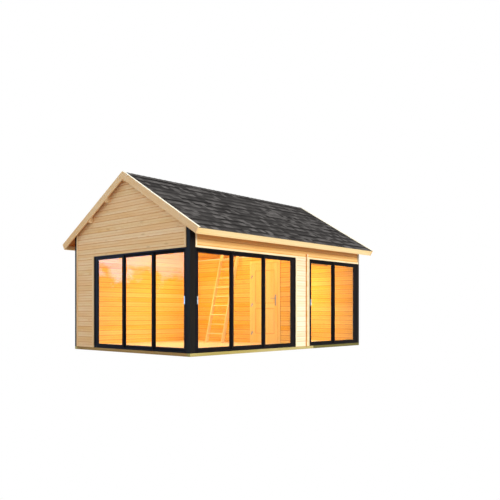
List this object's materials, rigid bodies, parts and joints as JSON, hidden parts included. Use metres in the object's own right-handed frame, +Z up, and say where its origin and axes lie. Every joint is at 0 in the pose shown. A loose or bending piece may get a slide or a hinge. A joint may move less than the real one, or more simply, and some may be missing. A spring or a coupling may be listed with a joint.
{
  "type": "garden summerhouse",
  "caption": "Timber log summerhouse with a pitched shingle roof, a glazed corner of sliding glass walls, a second room behind a partition door, and a loft with a ladder.",
  "frame": {"origin": "centre of the footprint on the ground", "axes": "+X towards the glazed long wall, +Y along the ridge away from the front gable, +Z up"},
  "size_m": [4.682, 6.18, 3.8437],
  "materials": {
    "pine": "planed",
    "trim_pine": "planed",
    "floor_pine": "planed",
    "treated_timber": "sawn",
    "black_timber": "painted satin",
    "black_aluminium": "powder coated",
    "glass": "clear",
    "shingle": "mineral granules",
    "steel": "brushed"
  },
  "bodies": {
    "building": {"back_room_slider_frame": "black_aluminium", "back_wall": "pine", "bargeboard_back_left": "trim_pine", "bargeboard_back_right": "trim_pine", "bargeboard_front_left": "trim_pine", "bargeboard_front_right": "trim_pine", "corner_post_front_left": "black_timber", "corner_post_front_right": "black_timber", "corner_posts_back": "black_timber", "door_hinges_lower": "steel", "eaves_fascias": "trim_pine", "fixed_glass": "glass", "fixed_sashes": "black_aluminium", "floor_boards": "floor_pine", "foundation_cross_beams": "treated_timber", "foundation_side_beams": "treated_timber", "front_gable_wall": "pine", "front_left_wall": "pine", "gable_slider_frame": "black_aluminium", "ladder_stringers": "pine", "ladder_treads": "pine", "left_wall": "pine", "loft_deck": "floor_pine", "loft_joists": "pine", "partition_left_wall": "pine", "partition_log_ends": "pine", "partition_over_door": "pine", "partition_right_wall": "pine", "ridge_cap": "shingle", "ridge_purlin": "pine", "right_header_wall": "pine", "right_pier_wall": "pine", "roof_boards_left": "pine", "roof_boards_right": "pine", "room_door_frame": "pine", "shingles_left": "shingle", "shingles_right": "shingle", "side_purlins": "pine", "side_slider_frame": "black_aluminium", "wall_battens": "trim_pine"},
    "gable_middle": {"gable_middle_sash": "black_aluminium", "gable_middle_glass": "glass"},
    "gable_leading": {"gable_leading_sash": "black_aluminium", "gable_leading_glass": "glass", "gable_slider_handle": "steel"},
    "side_middle": {"side_middle_sash": "black_aluminium", "side_middle_glass": "glass"},
    "side_leading": {"side_leading_sash": "black_aluminium", "side_leading_glass": "glass", "side_slider_handle": "steel"},
    "back_room_leading": {"back_room_leading_sash": "black_aluminium", "back_room_leading_glass": "glass", "back_room_slider_handle": "steel"},
    "room_door": {"room_door_leaf": "pine", "room_door_handles": "steel", "door_hinges_upper": "steel"}
  },
  "joints": [
    {"name": "gable_middle_slide", "type": "slide", "parent": "building", "child": "gable_middle", "axis": [-1, 0, 0], "range_m": [0, 0.89]},
    {"name": "gable_leading_slide", "type": "slide", "parent": "gable_middle", "child": "gable_leading", "axis": [-1, 0, 0], "range_m": [0, 0.89]},
    {"name": "side_middle_slide", "type": "slide", "parent": "building", "child": "side_middle", "axis": [0, 1, 0], "range_m": [0, 0.9]},
    {"name": "side_leading_slide", "type": "slide", "parent": "side_middle", "child": "side_leading", "axis": [0, 1, 0], "range_m": [0, 0.9]},
    {"name": "back_room_slide", "type": "slide", "parent": "building", "child": "back_room_leading", "axis": [0, 1, 0], "range_m": [0, 0.87]},
    {"name": "room_door_hinge", "type": "hinge", "parent": "building", "child": "room_door", "pos_m": [0.3015, 0.656, 0], "axis": [0, 0, -1], "range_deg": [0, 100]}
  ]
}
